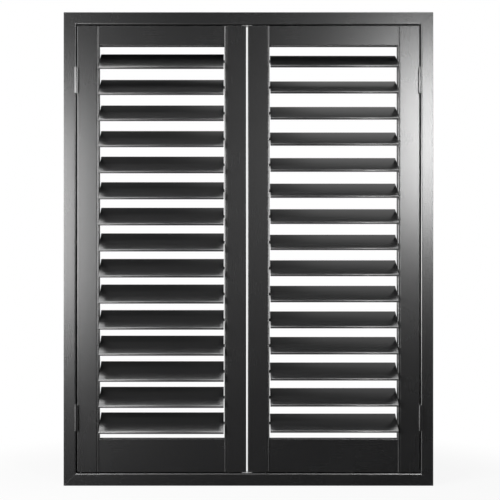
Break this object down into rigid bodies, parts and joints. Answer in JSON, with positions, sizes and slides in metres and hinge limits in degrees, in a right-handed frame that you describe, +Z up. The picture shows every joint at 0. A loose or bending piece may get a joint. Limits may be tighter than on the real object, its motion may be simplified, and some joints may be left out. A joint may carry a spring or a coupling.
{
  "type": "louvred shutters",
  "caption": "Pair of black louvred shutter panels hinged in a mitred frame, with tilting louvres joined by a hidden linkage in each meeting stile.",
  "frame": {"origin": "middle of the frame's underside, in the plane of the louvre pivots", "axes": "+X to the right seen from the room, +Y from the room to the window, +Z up"},
  "size_m": [1.084, 0.079, 1.3886],
  "materials": {
    "frame_paint": "satin black paint",
    "panel_paint": "satin black paint",
    "louvre_paint": "satin black paint",
    "hinge_paint": "satin black paint",
    "hinge_steel": "blackened steel",
    "strike_steel": "zinc plated",
    "bar_aluminium": "mill finish",
    "catch_plastic": "moulded black",
    "key_plastic": "moulded black"
  },
  "bodies": {
    "frame": {"frame_head": "frame_paint", "frame_sill": "frame_paint", "frame_left_jamb": "frame_paint", "frame_right_jamb": "frame_paint", "corner_keys": "key_plastic", "catch_magnets": "catch_plastic", "frame_stops": "frame_paint", "left_frame_leaves": "hinge_paint", "left_hinge_pins": "hinge_steel", "right_frame_leaves": "hinge_paint", "right_hinge_pins": "hinge_steel"},
    "left_panel": {"left_hinge_stile": "panel_paint", "left_meeting_stile": "panel_paint", "left_top_rail": "panel_paint", "left_bottom_rail": "panel_paint", "left_bearing_strip": "panel_paint", "left_panel_leaves": "hinge_paint", "left_strike_plates": "strike_steel"},
    "left_louvre_08": {"left_louvre_08": "louvre_paint"},
    "left_louvre_01": {"left_louvre_01": "louvre_paint"},
    "left_louvre_02": {"left_louvre_02": "louvre_paint"},
    "left_louvre_03": {"left_louvre_03": "louvre_paint"},
    "left_louvre_04": {"left_louvre_04": "louvre_paint"},
    "left_louvre_05": {"left_louvre_05": "louvre_paint"},
    "left_louvre_06": {"left_louvre_06": "louvre_paint"},
    "left_louvre_07": {"left_louvre_07": "louvre_paint"},
    "left_louvre_09": {"left_louvre_09": "louvre_paint"},
    "left_louvre_10": {"left_louvre_10": "louvre_paint"},
    "left_louvre_11": {"left_louvre_11": "louvre_paint"},
    "left_louvre_12": {"left_louvre_12": "louvre_paint"},
    "left_louvre_13": {"left_louvre_13": "louvre_paint"},
    "left_louvre_14": {"left_louvre_14": "louvre_paint"},
    "left_louvre_15": {"left_louvre_15": "louvre_paint"},
    "left_link_bar": {"left_link_bar": "bar_aluminium"},
    "right_panel": {"right_hinge_stile": "panel_paint", "right_meeting_stile": "panel_paint", "right_top_rail": "panel_paint", "right_bottom_rail": "panel_paint", "right_bearing_strip": "panel_paint", "right_panel_leaves": "hinge_paint", "right_strike_plates": "strike_steel"},
    "right_louvre_08": {"right_louvre_08": "louvre_paint"},
    "right_louvre_01": {"right_louvre_01": "louvre_paint"},
    "right_louvre_02": {"right_louvre_02": "louvre_paint"},
    "right_louvre_03": {"right_louvre_03": "louvre_paint"},
    "right_louvre_04": {"right_louvre_04": "louvre_paint"},
    "right_louvre_05": {"right_louvre_05": "louvre_paint"},
    "right_louvre_06": {"right_louvre_06": "louvre_paint"},
    "right_louvre_07": {"right_louvre_07": "louvre_paint"},
    "right_louvre_09": {"right_louvre_09": "louvre_paint"},
    "right_louvre_10": {"right_louvre_10": "louvre_paint"},
    "right_louvre_11": {"right_louvre_11": "louvre_paint"},
    "right_louvre_12": {"right_louvre_12": "louvre_paint"},
    "right_louvre_13": {"right_louvre_13": "louvre_paint"},
    "right_louvre_14": {"right_louvre_14": "louvre_paint"},
    "right_louvre_15": {"right_louvre_15": "louvre_paint"},
    "right_link_bar": {"right_link_bar": "bar_aluminium"}
  },
  "joints": [
    {"name": "left_panel_swing", "type": "hinge", "parent": "frame", "child": "left_panel", "pos_m": [-0.5035, -0.0199, 0.6943], "axis": [0, 0, -1], "range_deg": [0, 170]},
    {"name": "left_louvre_08_tilt", "type": "hinge", "parent": "left_panel", "child": "left_louvre_08", "pos_m": [-0.25425, 0, 0.7143], "axis": [1, 0, 0], "range_deg": [-116, 44]},
    {"name": "left_louvre_01_tilt", "type": "hinge", "parent": "left_panel", "child": "left_louvre_01", "pos_m": [-0.25425, 0, 0.1823], "axis": [1, 0, 0], "range_deg": [-116, 44]},
    {"name": "left_louvre_02_tilt", "type": "hinge", "parent": "left_panel", "child": "left_louvre_02", "pos_m": [-0.25425, 0, 0.2583], "axis": [1, 0, 0], "range_deg": [-116, 44]},
    {"name": "left_louvre_03_tilt", "type": "hinge", "parent": "left_panel", "child": "left_louvre_03", "pos_m": [-0.25425, 0, 0.3343], "axis": [1, 0, 0], "range_deg": [-116, 44]},
    {"name": "left_louvre_04_tilt", "type": "hinge", "parent": "left_panel", "child": "left_louvre_04", "pos_m": [-0.25425, 0, 0.4103], "axis": [1, 0, 0], "range_deg": [-116, 44]},
    {"name": "left_louvre_05_tilt", "type": "hinge", "parent": "left_panel", "child": "left_louvre_05", "pos_m": [-0.25425, 0, 0.4863], "axis": [1, 0, 0], "range_deg": [-116, 44]},
    {"name": "left_louvre_06_tilt", "type": "hinge", "parent": "left_panel", "child": "left_louvre_06", "pos_m": [-0.25425, 0, 0.5623], "axis": [1, 0, 0], "range_deg": [-116, 44]},
    {"name": "left_louvre_07_tilt", "type": "hinge", "parent": "left_panel", "child": "left_louvre_07", "pos_m": [-0.25425, 0, 0.6383], "axis": [1, 0, 0], "range_deg": [-116, 44]},
    {"name": "left_louvre_09_tilt", "type": "hinge", "parent": "left_panel", "child": "left_louvre_09", "pos_m": [-0.25425, 0, 0.7903], "axis": [1, 0, 0], "range_deg": [-116, 44]},
    {"name": "left_louvre_10_tilt", "type": "hinge", "parent": "left_panel", "child": "left_louvre_10", "pos_m": [-0.25425, 0, 0.8663], "axis": [1, 0, 0], "range_deg": [-116, 44]},
    {"name": "left_louvre_11_tilt", "type": "hinge", "parent": "left_panel", "child": "left_louvre_11", "pos_m": [-0.25425, 0, 0.9423], "axis": [1, 0, 0], "range_deg": [-116, 44]},
    {"name": "left_louvre_12_tilt", "type": "hinge", "parent": "left_panel", "child": "left_louvre_12", "pos_m": [-0.25425, 0, 1.0183], "axis": [1, 0, 0], "range_deg": [-116, 44]},
    {"name": "left_louvre_13_tilt", "type": "hinge", "parent": "left_panel", "child": "left_louvre_13", "pos_m": [-0.25425, 0, 1.0943], "axis": [1, 0, 0], "range_deg": [-116, 44]},
    {"name": "left_louvre_14_tilt", "type": "hinge", "parent": "left_panel", "child": "left_louvre_14", "pos_m": [-0.25425, 0, 1.1703], "axis": [1, 0, 0], "range_deg": [-116, 44]},
    {"name": "left_louvre_15_tilt", "type": "hinge", "parent": "left_panel", "child": "left_louvre_15", "pos_m": [-0.25425, 0, 1.2463], "axis": [1, 0, 0], "range_deg": [-116, 44]},
    {"name": "left_link_bar_pivot", "type": "hinge", "parent": "left_louvre_08", "child": "left_link_bar", "pos_m": [-0.0583, 0.00485, 0.71783], "axis": [1, 0, 0], "range_deg": [-44, 116]},
    {"name": "right_panel_swing", "type": "hinge", "parent": "frame", "child": "right_panel", "pos_m": [0.5035, -0.0199, 0.6943], "axis": [0, 0, 1], "range_deg": [0, 170]},
    {"name": "right_louvre_08_tilt", "type": "hinge", "parent": "right_panel", "child": "right_louvre_08", "pos_m": [0.25, 0, 0.7143], "axis": [1, 0, 0], "range_deg": [-109.4, 50.6]},
    {"name": "right_louvre_01_tilt", "type": "hinge", "parent": "right_panel", "child": "right_louvre_01", "pos_m": [0.25, 0, 0.1823], "axis": [1, 0, 0], "range_deg": [-109.4, 50.6]},
    {"name": "right_louvre_02_tilt", "type": "hinge", "parent": "right_panel", "child": "right_louvre_02", "pos_m": [0.25, 0, 0.2583], "axis": [1, 0, 0], "range_deg": [-109.4, 50.6]},
    {"name": "right_louvre_03_tilt", "type": "hinge", "parent": "right_panel", "child": "right_louvre_03", "pos_m": [0.25, 0, 0.3343], "axis": [1, 0, 0], "range_deg": [-109.4, 50.6]},
    {"name": "right_louvre_04_tilt", "type": "hinge", "parent": "right_panel", "child": "right_louvre_04", "pos_m": [0.25, 0, 0.4103], "axis": [1, 0, 0], "range_deg": [-109.4, 50.6]},
    {"name": "right_louvre_05_tilt", "type": "hinge", "parent": "right_panel", "child": "right_louvre_05", "pos_m": [0.25, 0, 0.4863], "axis": [1, 0, 0], "range_deg": [-109.4, 50.6]},
    {"name": "right_louvre_06_tilt", "type": "hinge", "parent": "right_panel", "child": "right_louvre_06", "pos_m": [0.25, 0, 0.5623], "axis": [1, 0, 0], "range_deg": [-109.4, 50.6]},
    {"name": "right_louvre_07_tilt", "type": "hinge", "parent": "right_panel", "child": "right_louvre_07", "pos_m": [0.25, 0, 0.6383], "axis": [1, 0, 0], "range_deg": [-109.4, 50.6]},
    {"name": "right_louvre_09_tilt", "type": "hinge", "parent": "right_panel", "child": "right_louvre_09", "pos_m": [0.25, 0, 0.7903], "axis": [1, 0, 0], "range_deg": [-109.4, 50.6]},
    {"name": "right_louvre_10_tilt", "type": "hinge", "parent": "right_panel", "child": "right_louvre_10", "pos_m": [0.25, 0, 0.8663], "axis": [1, 0, 0], "range_deg": [-109.4, 50.6]},
    {"name": "right_louvre_11_tilt", "type": "hinge", "parent": "right_panel", "child": "right_louvre_11", "pos_m": [0.25, 0, 0.9423], "axis": [1, 0, 0], "range_deg": [-109.4, 50.6]},
    {"name": "right_louvre_12_tilt", "type": "hinge", "parent": "right_panel", "child": "right_louvre_12", "pos_m": [0.25, 0, 1.0183], "axis": [1, 0, 0], "range_deg": [-109.4, 50.6]},
    {"name": "right_louvre_13_tilt", "type": "hinge", "parent": "right_panel", "child": "right_louvre_13", "pos_m": [0.25, 0, 1.0943], "axis": [1, 0, 0], "range_deg": [-109.4, 50.6]},
    {"name": "right_louvre_14_tilt", "type": "hinge", "parent": "right_panel", "child": "right_louvre_14", "pos_m": [0.25, 0, 1.1703], "axis": [1, 0, 0], "range_deg": [-109.4, 50.6]},
    {"name": "right_louvre_15_tilt", "type": "hinge", "parent": "right_panel", "child": "right_louvre_15", "pos_m": [0.25, 0, 1.2463], "axis": [1, 0, 0], "range_deg": [-109.4, 50.6]},
    {"name": "right_link_bar_pivot", "type": "hinge", "parent": "right_louvre_08", "child": "right_link_bar", "pos_m": [0.0498, 0.00523, 0.71725], "axis": [1, 0, 0], "range_deg": [-50.6, 109.4]}
  ],
  "couplings": [
    {"joint": "left_louvre_01_tilt", "follows": "left_louvre_08_tilt", "ratio": 1},
    {"joint": "left_louvre_02_tilt", "follows": "left_louvre_08_tilt", "ratio": 1},
    {"joint": "left_louvre_03_tilt", "follows": "left_louvre_08_tilt", "ratio": 1},
    {"joint": "left_louvre_04_tilt", "follows": "left_louvre_08_tilt", "ratio": 1},
    {"joint": "left_louvre_05_tilt", "follows": "left_louvre_08_tilt", "ratio": 1},
    {"joint": "left_louvre_06_tilt", "follows": "left_louvre_08_tilt", "ratio": 1},
    {"joint": "left_louvre_07_tilt", "follows": "left_louvre_08_tilt", "ratio": 1},
    {"joint": "left_louvre_09_tilt", "follows": "left_louvre_08_tilt", "ratio": 1},
    {"joint": "left_louvre_10_tilt", "follows": "left_louvre_08_tilt", "ratio": 1},
    {"joint": "left_louvre_11_tilt", "follows": "left_louvre_08_tilt", "ratio": 1},
    {"joint": "left_louvre_12_tilt", "follows": "left_louvre_08_tilt", "ratio": 1},
    {"joint": "left_louvre_13_tilt", "follows": "left_louvre_08_tilt", "ratio": 1},
    {"joint": "left_louvre_14_tilt", "follows": "left_louvre_08_tilt", "ratio": 1},
    {"joint": "left_louvre_15_tilt", "follows": "left_louvre_08_tilt", "ratio": 1},
    {"joint": "left_link_bar_pivot", "follows": "left_louvre_08_tilt", "ratio": -1},
    {"joint": "right_louvre_01_tilt", "follows": "right_louvre_08_tilt", "ratio": 1},
    {"joint": "right_louvre_02_tilt", "follows": "right_louvre_08_tilt", "ratio": 1},
    {"joint": "right_louvre_03_tilt", "follows": "right_louvre_08_tilt", "ratio": 1},
    {"joint": "right_louvre_04_tilt", "follows": "right_louvre_08_tilt", "ratio": 1},
    {"joint": "right_louvre_05_tilt", "follows": "right_louvre_08_tilt", "ratio": 1},
    {"joint": "right_louvre_06_tilt", "follows": "right_louvre_08_tilt", "ratio": 1},
    {"joint": "right_louvre_07_tilt", "follows": "right_louvre_08_tilt", "ratio": 1},
    {"joint": "right_louvre_09_tilt", "follows": "right_louvre_08_tilt", "ratio": 1},
    {"joint": "right_louvre_10_tilt", "follows": "right_louvre_08_tilt", "ratio": 1},
    {"joint": "right_louvre_11_tilt", "follows": "right_louvre_08_tilt", "ratio": 1},
    {"joint": "right_louvre_12_tilt", "follows": "right_louvre_08_tilt", "ratio": 1},
    {"joint": "right_louvre_13_tilt", "follows": "right_louvre_08_tilt", "ratio": 1},
    {"joint": "right_louvre_14_tilt", "follows": "right_louvre_08_tilt", "ratio": 1},
    {"joint": "right_louvre_15_tilt", "follows": "right_louvre_08_tilt", "ratio": 1},
    {"joint": "right_link_bar_pivot", "follows": "right_louvre_08_tilt", "ratio": -1}
  ]
}
